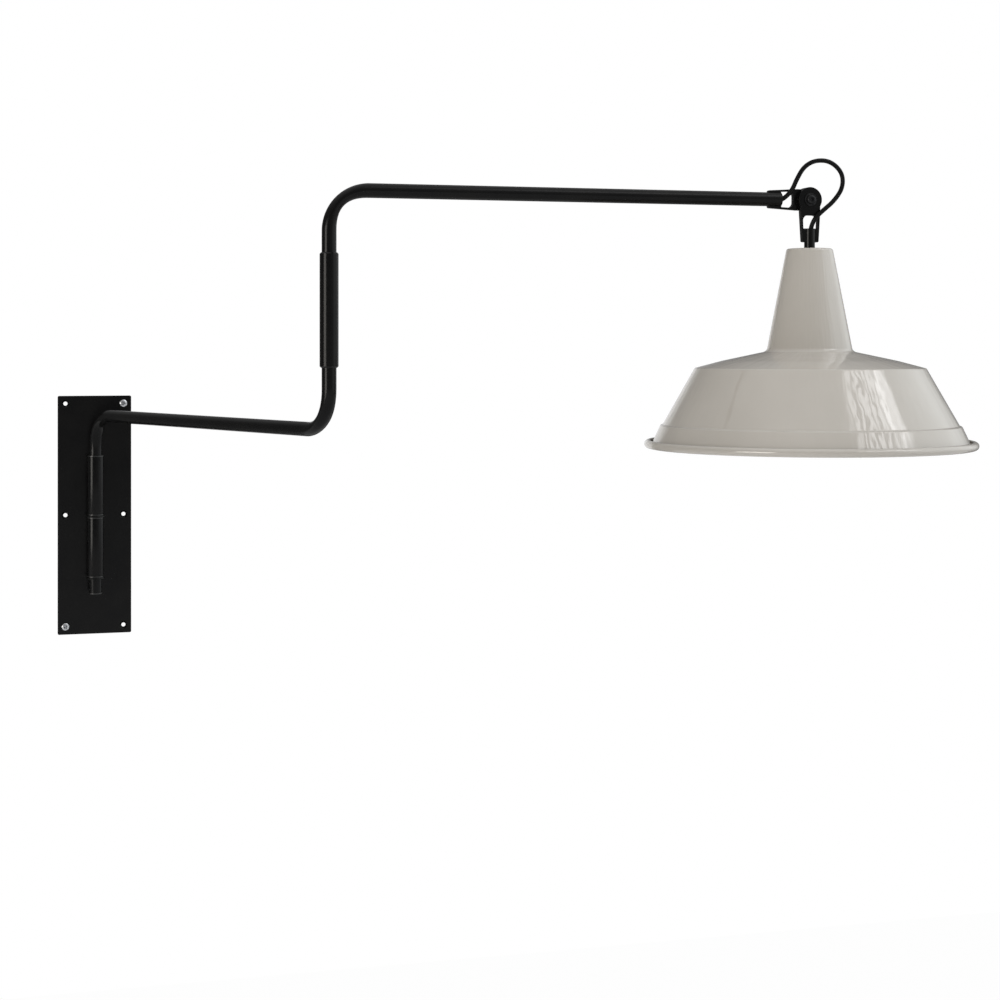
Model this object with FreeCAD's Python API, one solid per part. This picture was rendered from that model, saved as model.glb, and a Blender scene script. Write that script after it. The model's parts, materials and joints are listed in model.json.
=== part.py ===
import FreeCAD, Part
import math
import os

os.makedirs("parts", exist_ok=True)
V = FreeCAD.Vector

# Double-arm wall lamp with a large spun shade. Millimetres and degrees.
# Origin: centre of the wall plate's back face. +X runs along the wall, +Y into the wall, +Z up.
# The arms stand as in their usual pose: the lower arm reaches out from the wall and the upper
# arm runs along it, with the shade hanging straight down.

# Wall plate
plate_width = 95.0
plate_height = 314.0
plate_thick = 4.0
plate_corner_r = 2.0
plate_edge_r = 0.6
screw_hole_d = 5.4
countersink_d = 10.4
hole_inset_x = 10.0
hole_inset_z = 10.2

# Swivel barrels on the plate
standoff = 25.0
barrel_od = 20.4
barrel_bore = 18.0
barrel_len = 75.4
bush_len = 12.0
bush_flange_h = 1.2
bush_flange_od = 20.8
lug_width = 8.0
lug_from_end = 15.7
stem_collar_h = 2.6
stem_collar_od = 24.0
end_collar_h = 2.6
end_collar_od = 23.4
axial_gap = 0.2
running_gap = 0.05

# Arm tubes, both bent from the same tube
tube_od = 16.0
tube_wall = 1.5
bend_r = 44.4
bend_flat_share = 0.19
bend_widen_share = 0.06
bend_sections = 9
arm_reach = 560.0
upper_arm_reach = 556.7
lower_arm_turn = -67.0
arm_clear_height = 67.4
lower_arm_z = 132.0
stub_below_barrel = 18.0
inlet_lip_h = 1.6
inlet_lip_overhang = 0.6
inlet_len = 9.0

# Elbow sleeve, fixed to the lower arm's stem; the upper arm's stem turns in it
sleeve_len = 124.0
sleeve_od = 20.4
sleeve_chamfer = 1.5
thrust_washer_h = 2.0
thrust_washer_od = 15.6
thrust_washer_bore = 9.0
grub_d = 4.0
grub_drop = 20.0
grub_hex = 2.0
grub_hex_depth = 1.0

# Knuckle: two like forks cut from plate, side by side on one bolt, each in line with its own tube
fork_len = 49.0
fork_plate = 6.0
fork_mouth_half = 10.1
fork_mouth_corner_r = 1.8
fork_body_half = 12.2
fork_shoulder = 14.0
disc_r = 14.3
plate_edge_break = 0.4
window_near = 18.2
window_near_half = 9.5
window_far = 33.3
window_far_half = 8.9
window_corner_r = 6.0
friction_washer_h = 0.8
friction_washer_od = 28.0
bolt_d = 6.0
bolt_head_d = 10.5
bolt_head_h = 3.0
bolt_edge_r = 2.2
bolt_hex = 4.0
bolt_hex_depth = 1.8
bolt_washer_od = 15.0
bolt_washer_h = 1.2
nut_hex = 10.0
nut_h = 5.0
bolt_past_nut = 1.5

# Stem from the knuckle into the shade
stem_od = 12.4
stem_bore = 8.0
stem_flare_d = 10.4
stem_flare_depth = 2.0
thread_d = 10.0
thread_len = 15.0
neck_drop = 56.35

# Shade: outer line as radius and depth below the neck's top face
shade_wall = 1.0
neck_top_r = 26.2
neck_top_corner_r = 3.0
neck_bottom_r = 48.9
neck_len = 117.8
neck_fillet_r = 6.0
crown_mid_r = 100.2
crown_mid_depth = 128.8
crown_dome_r = 180.0
shoulder_r = 131.2
shoulder_depth = 137.1
shoulder_corner_r = 3.0
skirt_bottom_r = 167.8
skirt_bottom_depth = 201.7
band_r = 170.8
band_depth = 203.1
band_corner_r = 1.6
rim_r = 184.6
rim_depth = 224.4
rim_roll_r = 4.6

# Lampholder and lamp inside the neck
clamp_washer_od = 20.0
clamp_washer_h = 1.2
lock_nut_hex = 14.0
lock_nut_h = 4.5
holder_gap = 0.6
holder_top_r = 12.5
holder_r = 19.5
holder_wall = 2.2
holder_top_h = 3.0
holder_cone_len = 9.0
holder_cap_len = 18.0
holder_body_len = 36.0
insert_h = 6.0
ring_od = 45.0
ring_h = 9.0
ring_from_mouth = 14.0
ring_flute_r = 1.6
ring_flutes = 24
shell_od = 28.8
shell_wall = 0.7
shell_len = 27.0
contact_r = 4.5
contact_h = 1.4
lamp_cap_r = 13.2
lamp_cap_len = 24.0
lamp_tip_r = 5.0
lamp_tip_h = 2.0
lamp_neck_r = 12.4
lamp_globe_r = 30.0
lamp_len = 105.0
lamp_glass = 0.9
lamp_shoulder_r = 42.0

# Cable
cable_od = 5.2
elbow_cable_gap = 0.3
cable_start_in_arm = 61.5
cable_end_in_stem = 41.5
loop_end_gap = 0.5
# The free loop's route, from the pin: along the arm, into the wall, up
loop_route = [
    (-61.5, 0.0, 0.0),
    (-52.3, 0.8, -0.8),
    (-42.8, -0.6, -1.4),
    (-34.3, -2.0, -1.2),
    (-27.8, -4.3, 3.1),
    (-21.0, -6.6, 11.2),
    (-17.0, -8.6, 22.3),
    (-8.7, -10.2, 37.3),
    (5.0, -11.4, 45.1),
    (23.8, -12.2, 44.5),
    (38.4, -12.9, 31.4),
    (38.8, -13.2, 14.0),
    (27.5, -13.3, -1.6),
    (13.9, -13.6, -12.4),
    (4.2, -12.7, -21.2),
    (1.1, -8.2, -31.6),
    (0.0, -6.8, -41.5),
]
arc_share = 0.45

overrun = 1.0

# Places worked out from the sizes above
up = V(0, 0, 1)
along_wall = V(1, 0, 0)
into_wall = V(0, 1, 0)
lower_dir = V(math.cos(math.radians(lower_arm_turn)), math.sin(math.radians(lower_arm_turn)), 0)
bearing = V(0, -standoff, 0)
elbow = bearing + lower_dir * arm_reach
upper_arm_z = lower_arm_z + 2 * arm_clear_height + sleeve_len
sleeve_bottom = lower_arm_z + arm_clear_height
sleeve_mid = sleeve_bottom + sleeve_len / 2
pin = V(elbow.x + upper_arm_reach, elbow.y, upper_arm_z)
head_pin = pin - into_wall * (fork_plate + friction_washer_h)
neck_top = pin.z - neck_drop
barrel_start = stem_collar_h / 2 + axial_gap + bush_flange_h
barrel_outer_end = barrel_start + barrel_len + bush_flange_h
end_collar_top = -barrel_outer_end - axial_gap
stub_end = end_collar_top - end_collar_h - stub_below_barrel
tube_r = tube_od / 2
tube_bore_r = tube_r - tube_wall

parts = {}


def cylinder(radius, height, base, direction=up):
    return Part.makeCylinder(radius, height, base, direction)


def tube(outer_r, inner_r, height, base, direction=up):
    core = cylinder(inner_r, height + 2 * overrun, base - direction * overrun, direction)
    return cylinder(outer_r, height, base, direction).cut(core)


def hex_prism(across_flats, height, base, direction):
    radius = across_flats / math.sqrt(3)
    ring = [V(radius * math.cos(math.pi * i / 3), radius * math.sin(math.pi * i / 3), 0) for i in range(6)]
    prism = Part.Face(Part.makePolygon(ring + ring[:1])).extrude(V(0, 0, height))
    prism.Placement = FreeCAD.Placement(base, FreeCAD.Rotation(up, direction))
    return prism


def rounded_line(points, radii):
    """Edges through the points, with a tangent arc of the given radius at each inner one."""
    edges = []
    start = points[0]
    for before, corner, after, radius in zip(points, points[1:], points[2:], radii):
        back = (before - corner).normalize()
        ahead = (after - corner).normalize()
        half = back.getAngle(ahead) / 2
        reach = radius / math.tan(half)
        to_centre = (back + ahead).normalize()
        middle = corner + to_centre * (radius / math.sin(half) - radius)
        first = corner + back * reach
        last = corner + ahead * reach
        edges.append(Part.LineSegment(start, first).toShape())
        edges.append(Part.Arc(first, middle, last).toShape())
        start = last
    edges.append(Part.LineSegment(start, points[-1]).toShape())
    return edges


def offset_line(points, distance):
    """The open outline moved sideways by the distance, corner by corner (in the XZ plane)."""
    sides = []
    for a, b in zip(points, points[1:]):
        run = (b - a).normalize()
        shift = V(-run.z, 0, run.x) * distance
        sides.append((a + shift, run))
    moved = [sides[0][0]]
    for (a, run_a), (b, run_b) in zip(sides, sides[1:]):
        cross = run_a.x * run_b.z - run_a.z * run_b.x
        gap = b - a
        moved.append(a + run_a * ((gap.x * run_b.z - gap.z * run_b.x) / cross))
    last, run = sides[-1]
    moved.append(last + run * (points[-1] - points[-2]).Length)
    return moved


def turned(outline, axis_base, axis=up):
    """A solid of revolution from a closed list of points in the XZ plane, placed at the axis."""
    face = Part.Face(Part.makePolygon(outline + outline[:1]))
    solid = face.revolve(V(0, 0, 0), up, 360)
    solid.Placement = FreeCAD.Placement(axis_base, FreeCAD.Rotation(up, axis))
    return solid


# Wall plate, with six countersunk holes: a rectangle of four and two at mid-height
def wall_plate():
    box = Part.makeBox(plate_width, plate_thick, plate_height,
                       V(-plate_width / 2, -plate_thick, -plate_height / 2))
    corners = [e for e in box.Edges if abs(e.tangentAt(e.FirstParameter).y) > 0.5]
    box = box.makeFillet(plate_corner_r, corners)
    front = [e for e in box.Edges if abs(e.BoundBox.YMax + plate_thick) < running_gap]
    box = box.makeFillet(plate_edge_r, front)
    sink_depth = (countersink_d - screw_hole_d) / 2
    for x_side in (-1, 1):
        for z_step in (-1, 0, 1):
            place = V(x_side * (plate_width / 2 - hole_inset_x), 0,
                      z_step * (plate_height / 2 - hole_inset_z))
            hole = cylinder(screw_hole_d / 2, plate_thick + 2 * overrun,
                            place + into_wall * overrun, -into_wall)
            cone = Part.makeCone(countersink_d / 2, screw_hole_d / 2, sink_depth,
                                 place - into_wall * plate_thick, into_wall)
            box = box.cut(hole).cut(cone)
    return box


# Two barrels stand off the plate on welded lugs, each with a flanged bush at both ends
def barrel(sign):
    low = barrel_start if sign > 0 else -barrel_start - barrel_len
    return tube(barrel_od / 2, barrel_bore / 2, barrel_len, bearing + up * low)


def bush(end_z, outward):
    """A plastic bush pushed into a barrel end, its flange against the barrel's end face."""
    bore = tube_r + running_gap
    face = bearing + up * end_z
    body = tube(barrel_bore / 2, bore, bush_len, face, up * -outward)
    flange = tube(bush_flange_od / 2, bore, bush_flange_h, face, up * outward)
    return body.fuse(flange).removeSplitter()


def lugs():
    barrel_body = cylinder(barrel_od / 2, plate_height, bearing - up * (plate_height / 2))
    reach = standoff - plate_thick
    both = []
    for sign in (-1, 1):
        middle = sign * (barrel_start + barrel_len / 2)
        height = barrel_len - 2 * lug_from_end
        block = Part.makeBox(lug_width, reach, height, V(-lug_width / 2, -standoff, middle - height / 2))
        both.append(block.cut(barrel_body))
    return Part.makeCompound(both)


parts["wall_plate"] = wall_plate()
parts["barrel_upper"] = barrel(1)
parts["barrel_lower"] = barrel(-1)
parts["barrel_lugs"] = lugs()
bush_places = {
    "upper_barrel_top_bush": (barrel_start + barrel_len, 1),
    "upper_barrel_bottom_bush": (barrel_start, -1),
    "lower_barrel_top_bush": (-barrel_start, 1),
    "lower_barrel_bottom_bush": (-barrel_start - barrel_len, -1),
}
for name, (end_z, outward) in bush_places.items():
    parts[name] = bush(end_z, outward)


# Arm tubes. The bender flattens the tube a little at the middle of each bend: the outside
# keeps its radius, the inside is pushed out, and the tube grows a little wider across.
def section(middle, out, ahead, across, thick, wide):
    """A closed oval wire: thick along out, wide along across, square to ahead."""
    thin = out * (thick / 2)
    long = across * (wide / 2)
    frame = FreeCAD.Matrix(long.x, thin.x, ahead.x, middle.x,
                           long.y, thin.y, ahead.y, middle.y,
                           long.z, thin.z, ahead.z, middle.z,
                           0, 0, 0, 1)
    return Part.Wire(Part.Circle().toShape()).transformGeometry(frame)


def bend_skin(corner, dir_in, dir_out, inset):
    across = dir_in.cross(dir_out)
    centre = corner + (dir_out - dir_in) * bend_r
    outside = bend_r + tube_r
    wires = []
    for i in range(bend_sections):
        angle = math.pi / 2 * i / (bend_sections - 1)
        squeeze = math.sin(2 * angle) ** 2
        thick = tube_od * (1 - bend_flat_share * squeeze)
        wide = tube_od * (1 + bend_widen_share * squeeze)
        out = dir_in * math.sin(angle) - dir_out * math.cos(angle)
        ahead = dir_in * math.cos(angle) + dir_out * math.sin(angle)
        middle = centre + out * (outside - thick / 2)
        wires.append(section(middle, out, ahead, across, thick - 2 * inset, wide - 2 * inset))
    return Part.makeLoft(wires, False, False).Faces


def rod(radius, start, end):
    return cylinder(radius, (end - start).Length, start, (end - start).normalize())


def bent_tube(points):
    """A tube along the points, square at both ends, with one bend at each inner point."""
    faces = []
    for inset in (0, tube_wall):
        for i in range(len(points) - 1):
            run = (points[i + 1] - points[i]).normalize()
            start = points[i] if i == 0 else points[i] + run * bend_r
            last = i == len(points) - 2
            end = points[i + 1] if last else points[i + 1] - run * bend_r
            straight = rod(tube_r - inset, start, end)
            faces += [f for f in straight.Faces if f.Surface.TypeId == "Part::GeomCylinder"]
            if not last:
                next_run = (points[i + 2] - points[i + 1]).normalize()
                faces += bend_skin(points[i + 1], run, next_run, inset)
    for end, beside in ((points[0], points[1]), (points[-1], points[-2])):
        disc = Part.Face(Part.Wire(Part.Circle(end, beside - end, tube_r).toShape()))
        hole = Part.Face(Part.Wire(Part.Circle(end, beside - end, tube_bore_r).toShape()))
        faces += disc.cut(hole).Faces
    shell = Part.makeShell(faces)
    shell.sewShape()
    solid = Part.makeSolid(shell)
    if solid.Volume < 0:
        solid.reverse()
    return solid


lower_stem_top = sleeve_mid - thrust_washer_h / 2
upper_stem_bottom = sleeve_mid + thrust_washer_h / 2
wall_corner = bearing + up * lower_arm_z
elbow_low_corner = elbow + up * lower_arm_z
elbow_high_corner = elbow + up * upper_arm_z
stub_point = bearing + up * stub_end
arm_tube_end = pin - along_wall * window_far
lower_stem_end = elbow + up * lower_stem_top
parts["lower_arm_tube"] = bent_tube([stub_point, wall_corner, elbow_low_corner, lower_stem_end])
parts["upper_arm_tube"] = bent_tube([elbow + up * upper_stem_bottom, elbow_high_corner, arm_tube_end])

# Collars on the lower arm's stem: one between the barrels carries the arm, one holds it down
parts["stem_collar"] = tube(stem_collar_od / 2, tube_r, stem_collar_h, bearing - up * (stem_collar_h / 2))
end_collar_base = bearing + up * (end_collar_top - end_collar_h)
parts["end_collar"] = tube(end_collar_od / 2, tube_r, end_collar_h, end_collar_base)


# Cable inlet bush in the open end of the stem
def cable_inlet():
    body = cylinder(tube_bore_r, inlet_len, stub_point)
    lip = cylinder(tube_r + inlet_lip_overhang, inlet_lip_h, stub_point - up * inlet_lip_h)
    lower_edges = [e for e in lip.Edges if e.BoundBox.ZMax < stub_end - running_gap]
    lip = lip.makeFillet(inlet_lip_overhang, lower_edges)
    bore = cylinder(cable_od / 2, inlet_len + inlet_lip_h + 2 * overrun,
                    stub_point - up * (inlet_lip_h + overrun))
    return body.fuse(lip).cut(bore).removeSplitter()


parts["cable_inlet_bush"] = cable_inlet()


# Elbow sleeve
def elbow_sleeve():
    base = elbow + up * sleeve_bottom
    body = cylinder(sleeve_od / 2, sleeve_len, base)
    ends = [e for e in body.Edges if e.BoundBox.ZLength < running_gap]
    body = body.makeChamfer(sleeve_chamfer, ends)
    fixed_half = cylinder(tube_r, sleeve_len / 2 + overrun, base - up * overrun)
    turning_half = cylinder(tube_r + running_gap, sleeve_len / 2 + overrun, elbow + up * sleeve_mid)
    grub = cylinder(grub_d / 2, sleeve_od, elbow + up * (sleeve_mid - grub_drop), into_wall)
    return body.cut(fixed_half).cut(turning_half).cut(grub)


def sleeve_grub_screw():
    wall = sleeve_od / 2 - tube_r
    base = elbow + up * (sleeve_mid - grub_drop) + into_wall * tube_r
    screw = cylinder(grub_d / 2, wall, base, into_wall)
    seat = cylinder(sleeve_od / 2, sleeve_len, elbow + up * sleeve_bottom)
    stem = cylinder(tube_r, sleeve_len, elbow + up * sleeve_bottom)
    key = hex_prism(grub_hex, grub_hex_depth + overrun,
                    base + into_wall * (wall - grub_hex_depth), into_wall)
    return screw.common(seat).cut(stem).cut(key)


parts["elbow_sleeve"] = elbow_sleeve()
parts["sleeve_grub_screw"] = sleeve_grub_screw()
parts["elbow_thrust_washer"] = tube(thrust_washer_od / 2, thrust_washer_bore / 2, thrust_washer_h,
                                    elbow + up * lower_stem_top)


# Knuckle forks. Drawn with the pin at the origin and the mouth towards -X, and the tube's axis
# in the middle of the plate. The head's fork is the same, turned down, with a slot for the stem.
plate_front = -into_wall * (fork_plate / 2)


def flat_shape(points):
    """A plate of the fork's thickness with the given outline in XZ."""
    corners = [V(x, plate_front.y, z) for x, z in points]
    return Part.Face(Part.makePolygon(corners + corners[:1])).extrude(into_wall * fork_plate)


def corner_edges(shape, x):
    """The edges through the plate at the given X."""
    return [e for e in shape.Edges
            if e.BoundBox.YLength > fork_plate - running_gap
            and abs(e.BoundBox.Center.x - x) < running_gap and e.BoundBox.XLength < running_gap]


def fork(tube_outer_r):
    body = flat_shape([(-fork_len, -fork_mouth_half), (-fork_len, fork_mouth_half),
                       (-fork_shoulder, fork_body_half), (0, fork_body_half),
                       (0, -fork_body_half), (-fork_shoulder, -fork_body_half)])
    body = body.makeFillet(fork_mouth_corner_r, corner_edges(body, -fork_len))
    body = body.fuse(cylinder(disc_r, fork_plate, plate_front, into_wall)).removeSplitter()
    flats = [f for f in body.Faces if f.BoundBox.YLength < running_gap]
    body = body.makeFillet(plate_edge_break, [e for f in flats for e in f.OuterWire.Edges])
    window = flat_shape([(-window_far, -window_far_half), (-window_far, window_far_half),
                         (-window_near, window_near_half), (-window_near, -window_near_half)])
    window = window.makeFillet(window_corner_r, corner_edges(window, -window_near))
    slot = cylinder(tube_outer_r, fork_len + overrun - window_far, V(-fork_len - overrun, 0, 0), along_wall)
    hole = cylinder(bolt_d / 2 + running_gap, fork_plate + 2 * overrun, plate_front - into_wall * overrun,
                    into_wall)
    return body.cut(window).cut(slot).cut(hole)


arm_fork = fork(tube_r)
arm_fork.translate(pin)
parts["arm_fork"] = arm_fork
head_fork = fork(stem_od / 2)
head_fork.rotate(V(0, 0, 0), into_wall, -90)
head_fork.translate(head_pin)
parts["head_fork"] = head_fork

# Bolt, washers and nut of the knuckle
front_face = head_pin + plate_front
back_face = pin - plate_front
bolt_seat = front_face - into_wall * bolt_washer_h
nut_seat = back_face + into_wall * bolt_washer_h
parts["knuckle_friction_washer"] = tube(friction_washer_od / 2, bolt_d / 2, friction_washer_h,
                                        pin + plate_front, -into_wall)
parts["knuckle_front_washer"] = tube(bolt_washer_od / 2, bolt_d / 2, bolt_washer_h, bolt_seat, into_wall)
parts["knuckle_back_washer"] = tube(bolt_washer_od / 2, bolt_d / 2, bolt_washer_h, back_face, into_wall)


def knuckle_bolt():
    head = cylinder(bolt_head_d / 2, bolt_head_h, bolt_seat, -into_wall)
    rim = [e for e in head.Edges if e.BoundBox.YMax < bolt_seat.y - bolt_head_h + running_gap]
    head = head.makeFillet(bolt_edge_r, rim)
    key = hex_prism(bolt_hex, bolt_hex_depth + overrun,
                    bolt_seat - into_wall * (bolt_head_h - bolt_hex_depth), -into_wall)
    length = (nut_seat - bolt_seat).Length + nut_h + bolt_past_nut
    return head.cut(key).fuse(cylinder(bolt_d / 2, length, bolt_seat, into_wall)).removeSplitter()


def hex_nut(across_flats, height, bore_r, base, direction):
    prism = hex_prism(across_flats, height, base, direction)
    corner_r = across_flats / math.sqrt(3)
    flat_r = across_flats / 2
    drop = corner_r - flat_r
    rounding = turned([V(0, 0, 0), V(flat_r, 0, 0), V(corner_r, 0, drop), V(corner_r, 0, height - drop),
                       V(flat_r, 0, height), V(0, 0, height)], base, direction)
    bore = cylinder(bore_r, height + 2 * overrun, base - direction * overrun, direction)
    return prism.common(rounding).cut(bore)


parts["knuckle_bolt"] = knuckle_bolt()
parts["knuckle_nut"] = hex_nut(nut_hex, nut_h, bolt_d / 2, nut_seat, into_wall)


# Hollow stem that carries the shade: a shoulder above the neck and a thread through it
def head_stem():
    top = head_pin - up * window_far
    seat = V(head_pin.x, head_pin.y, neck_top)
    body = rod(stem_od / 2, top, seat)
    thread = cylinder(thread_d / 2, thread_len, seat, -up)
    bore = cylinder(stem_bore / 2, top.z - neck_top + thread_len + 2 * overrun, top + up * overrun, -up)
    flare = Part.makeCone(stem_flare_d / 2, stem_bore / 2, stem_flare_depth, top, -up)
    return body.fuse(thread).cut(bore).cut(flare)


parts["head_stem"] = head_stem()


# Shade, spun from sheet. Its edge is rolled over a wire, so the roll is drawn solid.
def shade():
    outer = [V(thread_d / 2, 0, 0), V(neck_top_r, 0, 0), V(neck_bottom_r, 0, -neck_len),
             V(crown_mid_r, 0, -crown_mid_depth), V(shoulder_r, 0, -shoulder_depth),
             V(skirt_bottom_r, 0, -skirt_bottom_depth), V(band_r, 0, -band_depth), V(rim_r, 0, -rim_depth)]
    radii = [neck_top_corner_r, neck_fillet_r, crown_dome_r, shoulder_corner_r,
             band_corner_r, band_corner_r]
    inner = offset_line(outer, -shade_wall)
    inner_radii = []
    for before, corner, after, radius in zip(outer, outer[1:], outer[2:], radii):
        turn = (corner - before).cross(after - corner).y
        inner_radii.append(radius - shade_wall if turn > 0 else radius + shade_wall)
    rim_centre = outer[-1]
    run = (outer[-1] - outer[-2]).normalize()
    outer[-1] = rim_centre - run * rim_roll_r
    inner[-1] = inner[-1] - run * math.sqrt(rim_roll_r ** 2 - shade_wall ** 2)
    roll = Part.Arc(outer[-1], rim_centre + run * rim_roll_r, inner[-1]).toShape()
    top = Part.LineSegment(outer[0], inner[0]).toShape()
    edges = rounded_line(outer, radii) + [roll] + rounded_line(inner, inner_radii) + [top]
    wire = Part.Wire(Part.__sortEdges__(edges))
    body = Part.Face(wire).revolve(V(0, 0, 0), up, 360)
    body.translate(V(head_pin.x, head_pin.y, neck_top))
    return body


parts["shade"] = shade()


# Inside the neck: clamp washer, lock nut and lampholder, all centred on the stem
def below_neck(depth):
    return V(head_pin.x, head_pin.y, neck_top - depth)


clamp_top = shade_wall
nut_top = clamp_top + clamp_washer_h
holder_top = nut_top + lock_nut_h + holder_gap
cap_bottom = holder_top + holder_cap_len
body_bottom = cap_bottom + holder_body_len
insert_top = cap_bottom - insert_h / 2
insert_bottom = insert_top + insert_h
holder_inner_r = holder_r - holder_wall
parts["clamp_washer"] = tube(clamp_washer_od / 2, thread_d / 2, clamp_washer_h, below_neck(clamp_top), -up)
parts["lock_nut"] = hex_nut(lock_nut_hex, lock_nut_h, thread_d / 2, below_neck(nut_top), -up)


def holder_cap():
    outside = turned([V(0, 0, 0), V(holder_top_r, 0, 0), V(holder_r, 0, holder_cone_len),
                      V(holder_r, 0, holder_cap_len), V(0, 0, holder_cap_len)], below_neck(holder_top), -up)
    inside = turned([V(0, 0, holder_top_h), V(holder_top_r - holder_wall, 0, holder_top_h),
                     V(holder_inner_r, 0, holder_cone_len + holder_wall),
                     V(holder_inner_r, 0, holder_cap_len + overrun), V(0, 0, holder_cap_len + overrun)],
                    below_neck(holder_top), -up)
    hole = cylinder(thread_d / 2, holder_top_h + 2 * overrun, below_neck(holder_top - overrun), -up)
    return outside.cut(inside).cut(hole)


def holder_ring():
    top = body_bottom - ring_from_mouth
    ring = tube(ring_od / 2, holder_r, ring_h, below_neck(top), -up)
    for i in range(ring_flutes):
        angle = 2 * math.pi * i / ring_flutes
        out = V(math.cos(angle), math.sin(angle), 0)
        place = below_neck(top - overrun) + out * (ring_od / 2 + ring_flute_r / 2)
        ring = ring.cut(cylinder(ring_flute_r, ring_h + 2 * overrun, place, -up))
    return ring


parts["lampholder_cap"] = holder_cap()
parts["lampholder_body"] = tube(holder_r, holder_inner_r, holder_body_len, below_neck(cap_bottom), -up)
parts["lampholder_ring"] = holder_ring()
parts["lampholder_insert"] = cylinder(holder_inner_r, insert_h, below_neck(insert_top), -up)
parts["lampholder_screw_shell"] = tube(shell_od / 2, shell_od / 2 - shell_wall, shell_len,
                                       below_neck(insert_bottom), -up)
parts["lampholder_contact"] = cylinder(contact_r, contact_h, below_neck(insert_bottom), -up)

# Lamp: tip, screw cap and glass
tip_top = insert_bottom + contact_h
lamp_cap_top = tip_top + lamp_tip_h
lamp_bottom = tip_top + lamp_len
parts["lamp_tip"] = Part.makeCone(lamp_tip_r - lamp_tip_h, lamp_tip_r, lamp_tip_h, below_neck(tip_top), -up)
parts["lamp_cap"] = tube(lamp_cap_r, lamp_neck_r, lamp_cap_len, below_neck(lamp_cap_top), -up).fuse(
    cylinder(lamp_cap_r, lamp_glass, below_neck(lamp_cap_top), -up)).removeSplitter()


def lamp_glass_solid():
    """A globe with a concave shoulder that runs into the cap, as one skin of even thickness."""
    def skin(inset, neck_start):
        globe_r = lamp_globe_r - inset
        hollow_r = lamp_shoulder_r + inset
        neck_r = lamp_neck_r - inset
        centre_z = -(lamp_bottom - lamp_globe_r)
        side_x = neck_r + hollow_r
        spread = globe_r + hollow_r
        rise = math.sqrt(spread ** 2 - side_x ** 2)
        side = V(side_x, 0, centre_z + rise)
        centre = V(0, 0, centre_z)
        join = centre + (side - centre).normalize() * globe_r
        start = V(neck_r, 0, side.z)
        to_start = (start - side).normalize()
        to_join = (join - side).normalize()
        shoulder_mid = side + (to_start + to_join).normalize() * hollow_r
        low = centre - up * globe_r
        globe_mid = centre + ((join - centre).normalize() + V(1, 0, -1)).normalize() * globe_r
        top = V(neck_r, 0, -neck_start)
        edges = [Part.LineSegment(V(0, 0, -neck_start), top).toShape(),
                 Part.LineSegment(top, start).toShape(),
                 Part.Arc(start, shoulder_mid, join).toShape(),
                 Part.Arc(join, globe_mid, low).toShape(),
                 Part.LineSegment(low, V(0, 0, -neck_start)).toShape()]
        return Part.Face(Part.Wire(edges)).revolve(V(0, 0, 0), up, 360)
    glass = skin(0, lamp_cap_top + lamp_glass).cut(skin(lamp_glass, lamp_cap_top + 2 * lamp_glass))
    glass.translate(V(head_pin.x, head_pin.y, neck_top))
    return glass


parts["lamp_glass"] = lamp_glass_solid()


# Cables. Straight runs joined by tangent arcs; each arc is as large as its two runs allow.
def cable(points, radii, label):
    path = Part.Wire(rounded_line(points, radii))
    run = points[1] - points[0]
    section = Part.Wire(Part.Circle(points[0], run, cable_od / 2).toShape())
    solid = path.makePipeShell([section], True, False)
    expected = math.pi * (cable_od / 2) ** 2 * path.Length
    print(label, "length %.1f" % path.Length, "volume ratio %.4f" % (solid.Volume / expected))
    return solid


def free_radii(points):
    radii = []
    for before, corner, after in zip(points, points[1:], points[2:]):
        shorter = min((corner - before).Length, (after - corner).Length)
        turn = (corner - before).getAngle(after - corner)
        radii.append(arc_share * shorter / math.tan(turn / 2))
    return radii


inlet_point = stub_point - up * inlet_lip_h
elbow_low_end = elbow + up * (sleeve_mid - elbow_cable_gap / 2)
elbow_high_end = elbow + up * (sleeve_mid + elbow_cable_gap / 2)
arm_cable_end = pin - along_wall * (cable_start_in_arm + loop_end_gap)
parts["cable_in_lower_arm"] = cable([inlet_point, wall_corner, elbow_low_corner, elbow_low_end],
                                    [bend_r, bend_r], "cable in lower arm")
parts["cable_in_upper_arm"] = cable([elbow_high_end, elbow_high_corner, arm_cable_end],
                                    [bend_r], "cable in upper arm")
loop_points = [pin + V(x, y, z) for x, y, z in loop_route]
loop_radii = free_radii(loop_points)
print("loop radii", [round(radius, 1) for radius in loop_radii])
parts["cable_loop"] = cable(loop_points, loop_radii, "cable loop")
head_cable_start = head_pin - up * (cable_end_in_stem + loop_end_gap)
parts["cable_in_head"] = rod(cable_od / 2, head_cable_start, below_neck(insert_top))

for name, shape in parts.items():
    shape.exportStep(os.path.join("parts", name + ".step"))
    solids = shape.Solids
    print(name, len(solids), "valid" if shape.isValid() else "INVALID", "%.1f" % shape.Volume)
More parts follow.
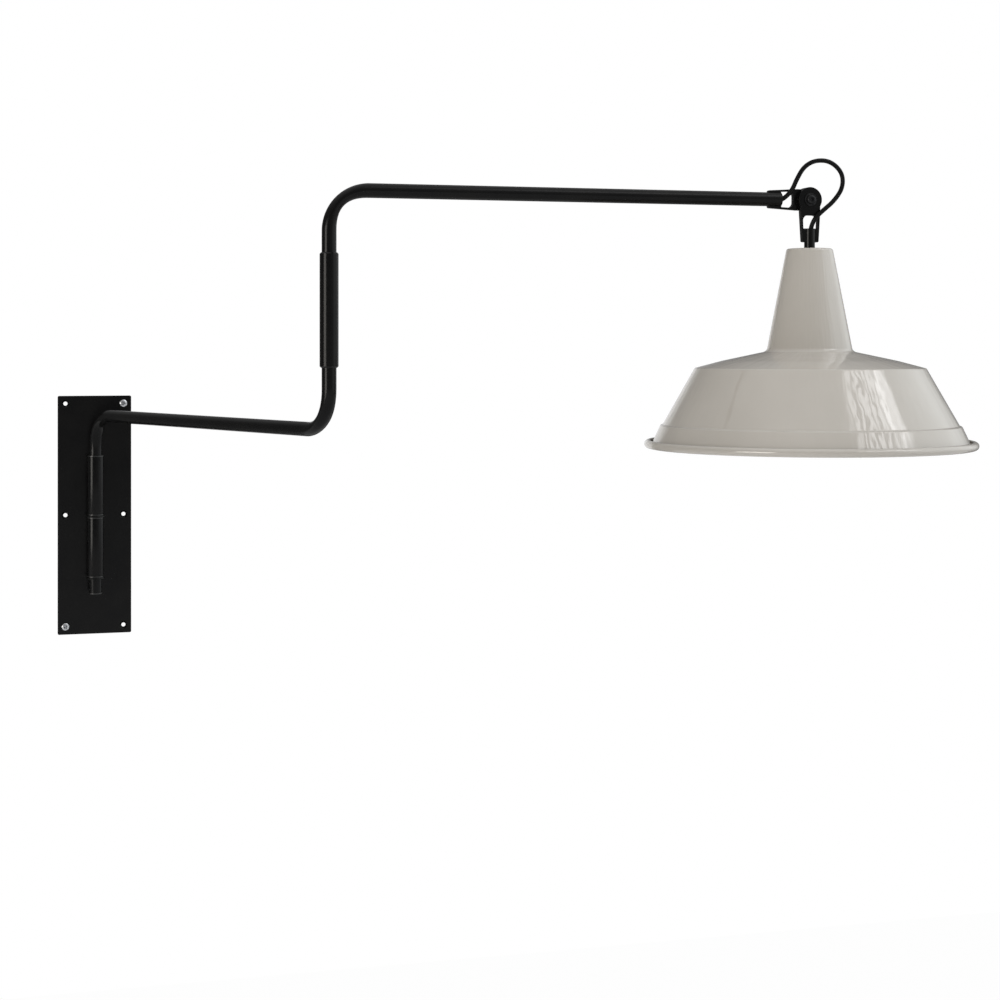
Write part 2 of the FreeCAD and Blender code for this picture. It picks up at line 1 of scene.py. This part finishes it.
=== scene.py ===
import bpy
import json
import math
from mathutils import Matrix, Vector


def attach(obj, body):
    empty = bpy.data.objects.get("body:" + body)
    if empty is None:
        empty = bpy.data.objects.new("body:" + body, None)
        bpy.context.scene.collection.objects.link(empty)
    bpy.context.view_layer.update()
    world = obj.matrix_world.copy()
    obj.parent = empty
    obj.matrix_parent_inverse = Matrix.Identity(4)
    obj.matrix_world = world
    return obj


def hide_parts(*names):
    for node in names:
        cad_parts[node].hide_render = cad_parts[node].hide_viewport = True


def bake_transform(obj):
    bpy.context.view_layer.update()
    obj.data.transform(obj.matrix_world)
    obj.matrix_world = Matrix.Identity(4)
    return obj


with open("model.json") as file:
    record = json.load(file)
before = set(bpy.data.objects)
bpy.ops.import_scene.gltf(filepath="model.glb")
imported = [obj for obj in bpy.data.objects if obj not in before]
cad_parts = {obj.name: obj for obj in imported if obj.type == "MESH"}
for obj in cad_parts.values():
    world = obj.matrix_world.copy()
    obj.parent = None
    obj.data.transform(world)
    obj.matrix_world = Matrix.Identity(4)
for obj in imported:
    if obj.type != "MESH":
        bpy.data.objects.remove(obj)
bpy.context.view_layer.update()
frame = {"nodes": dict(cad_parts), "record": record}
for obj in bpy.context.selected_objects:
    obj.select_set(False)
print("frame loaded", len(frame["nodes"]), "nodes")

pin = Vector((0.7755094, -0.5404827, 0.3908))    # knuckle bolt, level with the arm tube
forkStep = 0.0068    # the head's fork lies this far in front of the arm's
neckTop = Vector((pin.x, pin.y - forkStep, 0.33445))    # top of the shade's neck
weldGap = 0.000002    # points of a turned piece nearer than this become one


# Camera, found from the plate's corners, the two arms and the shade's rim
camera = {
    "lens": 67.577, "sensor": 36.0, "shiftUp": -0.15472,
    "place": (-0.13086, -2.53548, 0.223586), "turn": -15.145,
}


def addCamera(c):
    data = bpy.data.cameras.new("photoCamera")
    data.lens = c["lens"]
    data.sensor_width = c["sensor"]
    data.shift_y = c["shiftUp"]
    obj = bpy.data.objects.new("photoCamera", data)
    bpy.context.scene.collection.objects.link(obj)
    obj.location = c["place"]
    obj.rotation_euler = (math.radians(90), 0, math.radians(c["turn"]))
    bpy.context.scene.camera = obj


addCamera(camera)
print("camera placed")


# Edit mode helpers
def startPiece(name):
    obj = bpy.context.object
    obj.name = name
    obj.data.name = name
    bpy.ops.object.mode_set(mode="EDIT")
    return obj


def endPiece(obj, smoothAngle=35):
    bpy.ops.object.mode_set(mode="OBJECT")
    bpy.ops.object.select_all(action="DESELECT")
    obj.select_set(True)
    bpy.context.view_layer.objects.active = obj
    for modifier in list(obj.modifiers):
        bpy.ops.object.modifier_apply(modifier=modifier.name)
    bpy.ops.object.transform_apply(location=True, rotation=True, scale=True)
    bpy.ops.object.shade_smooth_by_angle(angle=math.radians(smoothAngle))
    obj.select_set(False)
    return obj


def chooseVerts(obj, wanted):
    bpy.ops.object.mode_set(mode="OBJECT")
    for part in (obj.data.polygons, obj.data.edges):
        for item in part:
            item.select = False
    for vertex in obj.data.vertices:
        vertex.select = bool(wanted(vertex))
    bpy.ops.object.mode_set(mode="EDIT")


# A turned piece: one corner of a plane is drawn out along the outline, then spun round the axis
def turnPiece(name, outline, base, steps, wall=None):
    bpy.ops.object.select_all(action="DESELECT")
    bpy.ops.mesh.primitive_plane_add()
    obj = startPiece(name)
    chooseVerts(obj, lambda vertex: vertex.index > 0)
    bpy.ops.mesh.delete(type="VERT")
    bpy.ops.object.mode_set(mode="OBJECT")
    obj.data.vertices[0].co = (outline[0][0], 0, outline[0][1])
    obj.data.vertices[0].select = True
    bpy.ops.object.mode_set(mode="EDIT")
    for (r0, z0), (r1, z1) in zip(outline, outline[1:]):
        bpy.ops.mesh.extrude_region_move(TRANSFORM_OT_translate={"value": (r1 - r0, 0, z1 - z0)})
    bpy.ops.mesh.select_all(action="SELECT")
    bpy.ops.mesh.spin(steps=steps, angle=math.tau, center=(0, 0, 0), axis=(0, 0, 1))
    bpy.ops.mesh.select_all(action="SELECT")
    bpy.ops.mesh.remove_doubles(threshold=weldGap)
    bpy.ops.mesh.normals_make_consistent(inside=False)
    obj.update_from_editmode()
    if wall and max(obj.data.polygons, key=lambda face: face.center.z).normal.z < 0:
        bpy.ops.mesh.flip_normals()
    bpy.ops.object.mode_set(mode="OBJECT")
    obj.location = base
    if wall:
        thicken = obj.modifiers.new("wall", "SOLIDIFY")
        thicken.thickness = wall
        thicken.offset = -1
    return obj


def arcPoints(centre, radius, start, end, count):
    return [(centre[0] + radius * math.cos(math.radians(start + (end - start) * i / count)),
             centre[1] + radius * math.sin(math.radians(start + (end - start) * i / count)))
            for i in range(count + 1)]


# An outline whose corners are rounded, each with its own radius
def roundedOutline(corners, count=6):
    outline = [corners[0][:2]]
    for before, corner, after in zip(corners, corners[1:], corners[2:]):
        radius = corner[2]
        place = Vector(corner[:2])
        back = (Vector(before[:2]) - place).normalized()
        on = (Vector(after[:2]) - place).normalized()
        half = back.angle(on) / 2
        centre = place + (back + on).normalized() * (radius / math.sin(half))
        reach = radius / math.tan(half)
        for i in range(count + 1):
            point = (place + back * reach).lerp(place + on * reach, i / count)
            outline.append(tuple(centre + (point - centre).normalized() * radius))
    outline.append(corners[-1][:2])
    return outline


def ridePiece(obj, body, slot, replaced=()):
    if not obj.data.materials:
        dress(obj, looks[slot])
    if replaced:
        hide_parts(*replaced)
    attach(obj, body)


# Shader wiring: a wire is one output, and sums on wires add Math nodes.
# In the looks below, a noise is given as scale, detail and roughness, the last two only where they
# matter, and a bump as depth in metres and strength.
class Wire:
    def __init__(self, paint, socket):
        self.paint = paint
        self.socket = socket

    def maths(self, operation, other, turned=False):
        first, second = (other, self) if turned else (self, other)
        return self.paint.add("ShaderNodeMath", {"operation": operation}, {0: first, 1: second})

    def __add__(self, other):
        return self.maths("ADD", other)

    def __radd__(self, other):
        return self.maths("ADD", other, True)

    def __rsub__(self, other):
        return self.maths("SUBTRACT", other, True)

    def __mul__(self, other):
        return self.maths("MULTIPLY", other)

    def __truediv__(self, other):
        return self.maths("DIVIDE", other)

    def __pow__(self, other):
        return self.maths("POWER", other)


class Paint:
    def __init__(self, name, owners=bpy.data.materials):
        self.material = owners.new(name)
        self.material.use_nodes = True
        self.tree = self.material.node_tree
        self.tree.nodes.clear()
        self.place = self.add("ShaderNodeTexCoord", output="Object")

    def add(self, kind, settings=None, sockets=None, output=0):
        node = self.tree.nodes.new(kind)
        for key, setting in (settings or {}).items():
            setattr(node, key, setting)
        for key, given in (sockets or {}).items():
            if isinstance(given, Wire):
                self.tree.links.new(given.socket, node.inputs[key])
            else:
                node.inputs[key].default_value = given
        return Wire(self, node.outputs[output]) if len(node.outputs) else node

    def noise(self, scale, detail=2.0, rough=0.5, vector=None):
        return self.add("ShaderNodeTexNoise", {}, {
            "Vector": vector or self.place, "Scale": scale, "Detail": detail, "Roughness": rough}, "Fac")

    def between(self, value, low, high):
        return self.add("ShaderNodeMapRange", {"interpolation_type": "SMOOTHSTEP"},
                        {"Value": value, "From Min": low, "From Max": high})

    def inside(self, value, low, high, soft):
        past = self.between(value, low - soft, low + soft)
        return past * (1.0 - self.between(value, high - soft, high + soft))

    # A Mix node set to RGBA takes its factor at 0 and its colours at 6 and 7, and gives them at 2
    def colours(self, mask, first, second):
        return self.add("ShaderNodeMix", {"data_type": "RGBA"},
                        {0: mask, 6: first if isinstance(first, Wire) else (*first, 1.0),
                         7: second if isinstance(second, Wire) else (*second, 1.0)}, 2)

    def bump(self, height, distance, strength=1.0):
        return self.add("ShaderNodeBump", {}, {"Height": height, "Distance": distance,
                                               "Strength": strength}, "Normal")

    def finish(self, sockets):
        shader = self.add("ShaderNodeBsdfPrincipled", {}, sockets)
        self.add("ShaderNodeOutputMaterial", {}, {"Surface": shader})
        return self.material


# Satin black powder coat: an even black with a fine orange-peel skin
blackCoatLook = {
    "dark": (0.0034, 0.0034, 0.0036), "light": (0.0052, 0.0051, 0.0050), "shine": 0.13,
    "tone": (26.0, 4.0), "toneRange": (0.3, 0.7), "peel": (600.0, 1.0), "peelBump": (0.000006, 0.6),
    "rough": 0.17, "roughSpread": 0.05,
}


def blackCoat(c):
    paint = Paint("blackCoat")
    tone = paint.noise(*c["tone"])
    peel = paint.noise(*c["peel"])
    return paint.finish({
        "Base Color": paint.colours(paint.between(tone, *c["toneRange"]), c["dark"], c["light"]),
        "Roughness": c["rough"] + tone * c["roughSpread"],
        "Normal": paint.bump(peel, *c["peelBump"]),
        "Specular IOR Level": c["shine"],
    })


# Moulded black plastic of the bushes, the thrust and friction washers and the lampholder
blackPlasticLook = {
    "dark": (0.005, 0.005, 0.005), "light": (0.011, 0.011, 0.011), "shine": 0.5,
    "fine": (1500.0, 2.0), "fineBump": (0.000004, 0.5), "broad": (60.0, 2.0),
    "rough": 0.28, "roughSpread": 0.10,
}

# Round PVC jacket of the cable, drawn a little uneven by extrusion
jacketLook = {
    "dark": (0.0022, 0.0022, 0.0022), "light": (0.0045, 0.0045, 0.0045), "shine": 0.12,
    "fine": (1500.0, 2.0), "fineBump": (0.000008, 0.5), "broad": (90.0, 3.0),
    "rough": 0.36, "roughSpread": 0.12,
}


def plastic(name, c):
    paint = Paint(name)
    fine = paint.noise(*c["fine"])
    broad = paint.noise(*c["broad"])
    return paint.finish({
        "Base Color": paint.colours(broad, c["dark"], c["light"]),
        "Roughness": c["rough"] + broad * c["roughSpread"],
        "Normal": paint.bump(fine, *c["fineBump"]),
        "Specular IOR Level": c["shine"],
    })


# Blackened steel of the knuckle's bolt, washers and nut and of the grub screw
darkSteelLook = {
    "dark": (0.012, 0.012, 0.013), "light": (0.032, 0.032, 0.033), "metal": 0.85,
    "cloud": (240.0, 5.0, 0.6), "cloudRange": (0.35, 0.7), "fine": (2600.0, 2.0),
    "fineBump": (0.00001, 0.5), "rough": 0.32, "roughSpread": 0.16,
}

# Zinc plating of the wall screws, the shade's clamp washer and nut and the lamp's cap
zincLook = {
    "dark": (0.40, 0.41, 0.43), "light": (0.60, 0.61, 0.62), "metal": 1.0,
    "cloud": (420.0, 4.0, 0.6), "cloudRange": (0.3, 0.7), "fine": (4200.0, 2.0),
    "fineBump": (0.00001, 0.5), "rough": 0.24, "roughSpread": 0.2,
}

# Brass of the lampholder's shell and contact and the lamp's tip
brassLook = {
    "dark": (0.50, 0.34, 0.13), "light": (0.74, 0.55, 0.27), "metal": 1.0,
    "cloud": (300.0, 4.0, 0.6), "cloudRange": (0.3, 0.75), "fine": (2400.0, 2.0),
    "fineBump": (0.00001, 0.5), "rough": 0.24, "roughSpread": 0.22,
}


def metal(name, c):
    paint = Paint(name)
    cloud = paint.noise(*c["cloud"])
    fine = paint.noise(*c["fine"])
    return paint.finish({
        "Base Color": paint.colours(paint.between(cloud, *c["cloudRange"]), c["dark"], c["light"]),
        "Metallic": c["metal"],
        "Roughness": c["rough"] + cloud * c["roughSpread"],
        "Normal": paint.bump(fine, *c["fineBump"]),
    })


# Glazed insulator in the lampholder
ceramicLook = {
    "dark": (0.70, 0.68, 0.63), "light": (0.82, 0.80, 0.76), "cloud": (110.0, 3.0), "rough": 0.12,
    "roughNoise": 900.0, "roughSpread": 0.1, "waves": 380.0, "waveBump": (0.00004, 0.5), "coat": 0.4,
}


def ceramic(c):
    paint = Paint("ceramic")
    cloud = paint.noise(*c["cloud"])
    return paint.finish({
        "Base Color": paint.colours(cloud, c["dark"], c["light"]),
        "Roughness": c["rough"] + paint.noise(c["roughNoise"]) * c["roughSpread"],
        "Normal": paint.bump(paint.noise(c["waves"]), *c["waveBump"]),
        "Coat Weight": c["coat"],
    })


# White glass of the lamp
opalLook = {
    "dark": (0.86, 0.85, 0.82), "light": (0.92, 0.91, 0.88), "cloud": (45.0, 2.0), "rough": 0.10,
    "roughSpread": 0.06, "waves": (140.0, 1.0), "waveBump": (0.00003, 0.4), "coat": 0.5,
    "scatter": 0.15, "scatterRadius": (0.01, 0.01, 0.01), "scatterScale": 0.4,
}


def opalGlass(c):
    paint = Paint("opalGlass")
    cloud = paint.noise(*c["cloud"])
    return paint.finish({
        "Base Color": paint.colours(cloud, c["dark"], c["light"]),
        "Roughness": c["rough"] + cloud * c["roughSpread"],
        "Normal": paint.bump(paint.noise(*c["waves"]), *c["waveBump"]),
        "Coat Weight": c["coat"],
        "Subsurface Weight": c["scatter"],
        "Subsurface Radius": c["scatterRadius"],
        "Subsurface Scale": c["scatterScale"],
    })


# Gloss greige enamel over spun steel: faint rings left by spinning, a long soft wave over the shade
# and streaks that run down it
enamelLook = {
    "dark": (0.450, 0.424, 0.385), "light": (0.475, 0.448, 0.408), "rough": 0.035, "roughSpread": 0.03,
    "shine": 0.75, "tone": (9.0, 3.0, 0.5), "toneRange": (0.3, 0.7),
    "rings": (1.0, 3.0, 0.6), "ringScale": 260.0, "ringDepth": 0.000010,
    "wave": (42.0, 1.0, 0.4), "waveDepth": 0.00040,
    "streaks": (15.0, 1.0, 0.4), "streakLean": 2.4, "streakDepth": 0.0003,
    "peel": (520.0, 1.0), "peelDepth": 0.000004,
}


def shadeEnamel(c):
    paint = Paint("shadeEnamel")
    centred = paint.add("ShaderNodeMapping", {"vector_type": "POINT"},
                        {"Vector": paint.place, "Location": (-neckTop.x, -neckTop.y, -neckTop.z)})
    x, y, z = [paint.add("ShaderNodeSeparateXYZ", {}, {"Vector": centred}, axis) for axis in "XYZ"]
    reach = (x * x + y * y) ** 0.5
    tone = paint.noise(*c["tone"], centred)
    down = paint.add("ShaderNodeCombineXYZ", {}, {"Z": z * c["ringScale"]})
    rings = paint.noise(*c["rings"], down)
    wave = paint.noise(*c["wave"], centred)
    around = paint.add("ShaderNodeCombineXYZ", {},
                       {"X": x / reach, "Y": y / reach, "Z": z * c["streakLean"]})
    streaks = paint.noise(*c["streaks"], around)
    peel = paint.noise(*c["peel"])
    height = (rings * c["ringDepth"] + wave * c["waveDepth"] + streaks * c["streakDepth"]
              + peel * c["peelDepth"])
    # The height is in metres already, so the bump's own depth is 1
    return paint.finish({
        "Base Color": paint.colours(paint.between(tone, *c["toneRange"]), c["dark"], c["light"]),
        "Roughness": c["rough"] + tone * c["roughSpread"],
        "Normal": paint.bump(height, 1.0),
        "Specular IOR Level": c["shine"],
    })


# White enamel inside the shade
liningLook = {
    "dark": (0.74, 0.735, 0.71), "light": (0.78, 0.775, 0.755), "tone": (11.0, 3.0),
    "toneRange": (0.3, 0.7), "rough": 0.24, "roughSpread": 0.08, "peel": (420.0, 1.0),
    "peelBump": (0.00001, 0.6),
}


def liningEnamel(c):
    paint = Paint("liningEnamel")
    tone = paint.noise(*c["tone"])
    return paint.finish({
        "Base Color": paint.colours(paint.between(tone, *c["toneRange"]), c["dark"], c["light"]),
        "Roughness": c["rough"] + tone * c["roughSpread"],
        "Normal": paint.bump(paint.noise(*c["peel"]), *c["peelBump"]),
    })


looks = {
    "black_coat": blackCoat(blackCoatLook), "black_plastic": plastic("blackPlastic", blackPlasticLook),
    "dark_steel": metal("darkSteel", darkSteelLook), "zinc": metal("zinc", zincLook),
    "brass": metal("brass", brassLook), "ceramic": ceramic(ceramicLook),
    "opal_glass": opalGlass(opalLook), "cable_jacket": plastic("cableJacket", jacketLook),
    "shade_enamel": shadeEnamel(enamelLook),
}


def dress(obj, material):
    obj.data.materials.clear()
    obj.data.materials.append(material)


for part in frame["record"]["subparts"]:
    dress(frame["nodes"][part["node"]], looks[part["material_slot"]])
print("materials made", len(looks))


# The free loop of cable over the knuckle. Its points are the ones the solid was laid along.
loop = {
    "diameter": 0.0052, "length": 0.215, "order": 3, "rings": 10, "sides": 6,
    "route": [
        (-0.0615, 0.0, 0.0), (-0.0523, 0.0008, -0.0008), (-0.0428, -0.0006, -0.0014),
        (-0.0343, -0.0020, -0.0012), (-0.0278, -0.0043, 0.0031), (-0.0210, -0.0066, 0.0112),
        (-0.0170, -0.0086, 0.0223), (-0.0087, -0.0102, 0.0373), (0.0050, -0.0114, 0.0451),
        (0.0238, -0.0122, 0.0445), (0.0384, -0.0129, 0.0314), (0.0388, -0.0132, 0.0140),
        (0.0275, -0.0133, -0.0016), (0.0139, -0.0136, -0.0124), (0.0042, -0.0127, -0.0212),
        (0.0011, -0.0082, -0.0316), (0.0, -0.0068, -0.0415),
    ],
    "bendFrom": (0.0, 0.0, -0.003), "bendTo": (0.0, 0.0, -0.040),
}


def cableLoop(c):
    curve = bpy.data.curves.new("cableLoopLine", "CURVE")
    curve.dimensions = "3D"
    curve.resolution_u = c["rings"]
    spline = curve.splines.new("NURBS")
    spline.points.add(len(c["route"]) - 1)
    for point, place in zip(spline.points, c["route"]):
        point.co = (*(pin + Vector(place)), 1.0)
    spline.order_u = c["order"]
    spline.use_endpoint_u = True
    line = bpy.data.objects.new("cableLoopLine", curve)
    bpy.context.scene.collection.objects.link(line)
    bpy.context.view_layer.update()
    bare = bpy.data.meshes.new_from_object(line)
    curve.bevel_depth = c["diameter"] / 2
    curve.bevel_resolution = c["sides"]
    curve.use_fill_caps = True
    bpy.context.view_layer.update()
    mesh = bpy.data.meshes.new_from_object(line)
    bpy.data.meshes.remove(bare)
    bpy.data.objects.remove(line)
    obj = bpy.data.objects.new("cableLoop", mesh)
    bpy.context.scene.collection.objects.link(obj)
    for face in mesh.polygons:
        face.use_smooth = True
    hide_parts("cable_loop")
    dress(obj, looks["cable_jacket"])
    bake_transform(obj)


cableLoop(loop)
print("cable loop laid")


# Spun shade: radius and height from the neck's top, with the corner radius of each bend.
# Its edge is rolled outwards and leaves a thin seam against the band. The inside is white enamel.
spunShade = {
    "wall": 0.001, "steps": 192, "rollSteps": 22, "smooth": 40,
    "corners": [
        (0.0064, 0.0, 0), (0.0262, 0.0, 0.003), (0.0489, -0.1178, 0.006), (0.1002, -0.1288, 0.180),
        (0.1312, -0.1371, 0.003), (0.1678, -0.2017, 0.0016), (0.1708, -0.2031, 0.0016),
        (0.1813, -0.2258, 0),
    ],
    "rollCentre": (0.1846, -0.2244), "rollRadius": 0.0036, "rollFrom": 203.3, "rollTo": 478.0,
    "liningEnd": 0.1790, "liningTop": -0.0015,
}


def shadeShell(c):
    roll = arcPoints(c["rollCentre"], c["rollRadius"], c["rollFrom"], c["rollTo"], c["rollSteps"])
    outline = roundedOutline(c["corners"])[:-1] + roll
    obj = turnPiece("shadeShell", outline, neckTop, c["steps"], c["wall"])
    endPiece(obj, c["smooth"])
    obj.data.materials.append(looks["shade_enamel"])
    obj.data.materials.append(liningEnamel(liningLook))
    for face in obj.data.polygons:
        out = Vector((face.center.x - neckTop.x, face.center.y - neckTop.y, 0))
        facesIn = face.normal.z < 0 or face.normal.dot(out) < 0
        if facesIn and out.length < c["liningEnd"] and face.center.z - neckTop.z < c["liningTop"]:
            face.material_index = 1
    return obj


ridePiece(shadeShell(spunShade), "lamp_head", "shade_enamel", ["shade"])
print("shade spun")


# Swivel barrels and collars on the plate's bearing line: height range, outer and bore radius and
# the radius of the edges
bearingLine = Vector((0, -0.025, 0))
ringTurning = {"steps": 80, "edgeSteps": 5, "smooth": 50}
turnedRings = {
    "barrelUpper": {"from": 0.0027, "to": 0.0781, "outer": 0.0102, "bore": 0.0090, "edge": 0.0006,
                    "body": "wall_bracket", "node": "barrel_upper"},
    "barrelLower": {"from": -0.0781, "to": -0.0027, "outer": 0.0102, "bore": 0.0090, "edge": 0.0006,
                    "body": "wall_bracket", "node": "barrel_lower"},
    "stemCollar": {"from": -0.0013, "to": 0.0013, "outer": 0.0120, "bore": 0.0080, "edge": 0.0012,
                   "body": "lower_arm", "node": "stem_collar"},
    "endCollar": {"from": -0.0821, "to": -0.0795, "outer": 0.0117, "bore": 0.0080, "edge": 0.0012,
                  "body": "lower_arm", "node": "end_collar"},
}


def turnedRing(name, c, turning):
    edge = c["edge"]
    low = arcPoints((c["outer"] - edge, c["from"] + edge), edge, -90, 0, turning["edgeSteps"])
    high = arcPoints((c["outer"] - edge, c["to"] - edge), edge, 0, 90, turning["edgeSteps"])
    start = (c["bore"], c["from"])
    outline = [start] + low + high + [(c["bore"], c["to"]), start]
    return endPiece(turnPiece(name, outline, bearingLine, turning["steps"]), turning["smooth"])


for name, ring in turnedRings.items():
    ridePiece(turnedRing(name, ring, ringTurning), ring["body"], "black_coat", [ring["node"]])
print("barrels and collars turned")


# The two wall screws that are in place: countersunk heads with a cross recess. The dome's line is in
# shares of the head's radius and of the dome's height.
wallScrew = {
    "headRadius": 0.0047, "shankRadius": 0.0022, "coneDepth": 0.0025, "depth": 0.0036, "dome": 0.0012,
    "domeLine": [(0, 1), (0.5, 0.8), (0.85, 0.35), (1, 0)], "steps": 48, "smooth": 30,
    "slotHalf": 0.00125, "slotReach": 0.0033, "slotDepth": 0.0026, "slotTaper": 0.5, "slack": 0.1,
    "plateFace": -0.0037, "places": [(0.0375, 0.1468), (-0.0375, -0.1468)], "turns": [24, 61],
}


# The cutter tapers towards its floor, and its top stands clear of the dome
def crossCutter(c):
    bpy.ops.mesh.primitive_cube_add(size=c["slotHalf"] * 2)
    cutter = startPiece("crossCutter")
    near = c["slotHalf"] * (1 - c["slack"])
    far = c["slotHalf"] * (1 + c["slack"])
    for along, across in ((0, 1), (1, 0)):
        for sign in (1, -1):
            chooseVerts(cutter, lambda v: v.co[along] * sign > near and abs(v.co[across]) < far)
            step = [0, 0, 0]
            step[along] = sign * (c["slotReach"] - c["slotHalf"])
            bpy.ops.mesh.extrude_region_move(TRANSFORM_OT_translate={"value": step})
    chooseVerts(cutter, lambda vertex: vertex.co.z < 0)
    bpy.ops.transform.translate(value=(0, 0, c["slotHalf"] - c["slotDepth"]))
    bpy.ops.transform.resize(value=(c["slotTaper"], c["slotTaper"], 1.0), center_override=(0, 0, 0))
    chooseVerts(cutter, lambda vertex: vertex.co.z > 0)
    bpy.ops.transform.translate(value=(0, 0, c["dome"] * 2))
    bpy.ops.object.mode_set(mode="OBJECT")
    return cutter


def screwPiece(c, number):
    across, up = c["places"][number]
    outline = [(c["headRadius"] * out, c["dome"] * high) for out, high in c["domeLine"]]
    outline += [(c["shankRadius"], -c["coneDepth"]), (c["shankRadius"], -c["depth"]), (0, -c["depth"])]
    obj = turnPiece("wallScrew%d" % number, outline, (0, 0, 0), c["steps"])
    cutter = crossCutter(c)
    bpy.ops.object.select_all(action="DESELECT")
    obj.select_set(True)
    bpy.context.view_layer.objects.active = obj
    recess = obj.modifiers.new("recess", "BOOLEAN")
    recess.operation = "DIFFERENCE"
    recess.object = cutter
    bpy.ops.object.modifier_apply(modifier="recess")
    bpy.data.objects.remove(cutter)
    obj.rotation_euler = (math.radians(90), math.radians(c["turns"][number]), 0)
    obj.location = (across, c["plateFace"], up)
    return endPiece(obj, c["smooth"])


for number in range(len(wallScrew["places"])):
    ridePiece(screwPiece(wallScrew, number), "wall_bracket", "zinc")
print("wall screws placed")


# Studio: a pale floor and, far round the object, soft light panels on a dim room.
# Turn is in degrees from the camera's side (0) towards the shade's right (90); rise is above the horizon.
floorLook = {
    "colour": (0.88, 0.88, 0.88), "darker": 0.99, "grain": (3.0, 2.0), "rough": 0.9,
    "centre": (0.4, -6.2, -0.9), "size": 14.0, "seen": 0.94,
}
panels = [
    {"turn": (-74, -48), "rise": (-13, 11), "soft": 4, "light": 8.2, "tint": (1.0, 0.96, 0.90)},
    {"turn": (58, 71), "rise": (36, 60), "soft": 3.5, "light": 3.0, "tint": (0.99, 0.99, 1.0)},
    {"turn": (20, 63), "rise": (36, 60), "soft": 8.0, "light": 3.6, "tint": (0.99, 0.99, 1.0),
     "slats": 6.6, "slatEdge": 0.7, "slatLeast": 0.1},
    {"turn": (46, 126), "rise": (-8, 44), "soft": 18, "light": 1.36, "tint": (0.96, 0.99, 1.0)},
    {"turn": (8, 62), "rise": (-2, 36), "soft": 14, "light": 0.36, "tint": (0.98, 0.99, 1.0)},
]
roomLook = {
    "dim": 0.16, "overhead": 1.16, "rise": (14, 82),
    "backdropSide": (0.92, 0.985), "backdropRise": (-90, 14), "backdropSoft": 9,
}


def addFloor(c):
    bpy.ops.mesh.primitive_plane_add(size=c["size"], location=c["centre"])
    floor = startPiece("studioFloor")
    endPiece(floor)
    paint = Paint("studioFloor")
    grain = paint.noise(*c["grain"])
    lit = paint.add("ShaderNodeBsdfPrincipled", {}, {
        "Base Color": paint.colours(grain, c["colour"], tuple(v * c["darker"] for v in c["colour"])),
        "Roughness": c["rough"]})
    white = paint.add("ShaderNodeEmission", {}, {"Strength": 1.0})
    seen = paint.add("ShaderNodeLightPath", output="Is Camera Ray") * c["seen"]
    paint.add("ShaderNodeOutputMaterial", {}, {
        "Surface": paint.add("ShaderNodeMixShader", {}, {0: seen, 1: lit, 2: white})})
    dress(floor, paint.material)


def addWorld(c, panels):
    paint = Paint("studio", bpy.data.worlds)
    bpy.context.scene.world = paint.material
    x, y, z = [paint.add("ShaderNodeSeparateXYZ", {}, {"Vector": paint.place}, axis) for axis in "XYZ"]
    turn = x.maths("ARCTAN2", y * -1.0) * math.degrees(1)
    rise = z.maths("ARCSINE", 0.0) * math.degrees(1)
    light = c["dim"] + paint.between(rise, *c["rise"]) * (c["overhead"] - c["dim"])
    plain = (1.0, 1.0, 1.0, 1.0)
    room = paint.add("ShaderNodeBackground", {}, {"Color": plain, "Strength": light})
    for panel in panels:
        patch = (paint.inside(turn, *panel["turn"], panel["soft"])
                 * paint.inside(rise, *panel["rise"], panel["soft"]) * panel["light"])
        if "slats" in panel:
            wave = (turn * (math.tau / panel["slats"])).maths("SINE", 0.0)
            bright = paint.between(wave, -panel["slatEdge"], panel["slatEdge"])
            patch = patch * (bright * (1.0 - panel["slatLeast"]) + panel["slatLeast"])
        lamp = paint.add("ShaderNodeBackground", {}, {"Color": (*panel["tint"], 1.0), "Strength": patch})
        room = paint.add("ShaderNodeAddShader", {}, {0: room, 1: lamp})
    white = paint.add("ShaderNodeBackground", {}, {"Color": plain, "Strength": 1.0})
    camera, glossy, through = [paint.add("ShaderNodeLightPath", output=ray)
                               for ray in ("Is Camera Ray", "Is Glossy Ray", "Is Transmission Ray")]
    behind = (paint.between(y, *c["backdropSide"])
              * paint.inside(rise, *c["backdropRise"], c["backdropSoft"]))
    seen = (camera + (glossy + through) * behind).maths("MINIMUM", 1.0)
    paint.add("ShaderNodeOutputWorld", {}, {
        "Surface": paint.add("ShaderNodeMixShader", {}, {0: seen, 1: room, 2: white})})


addFloor(floorLook)
addWorld(roomLook, panels)
print("studio lit")

bpy.context.scene.view_settings.view_transform = "Standard"
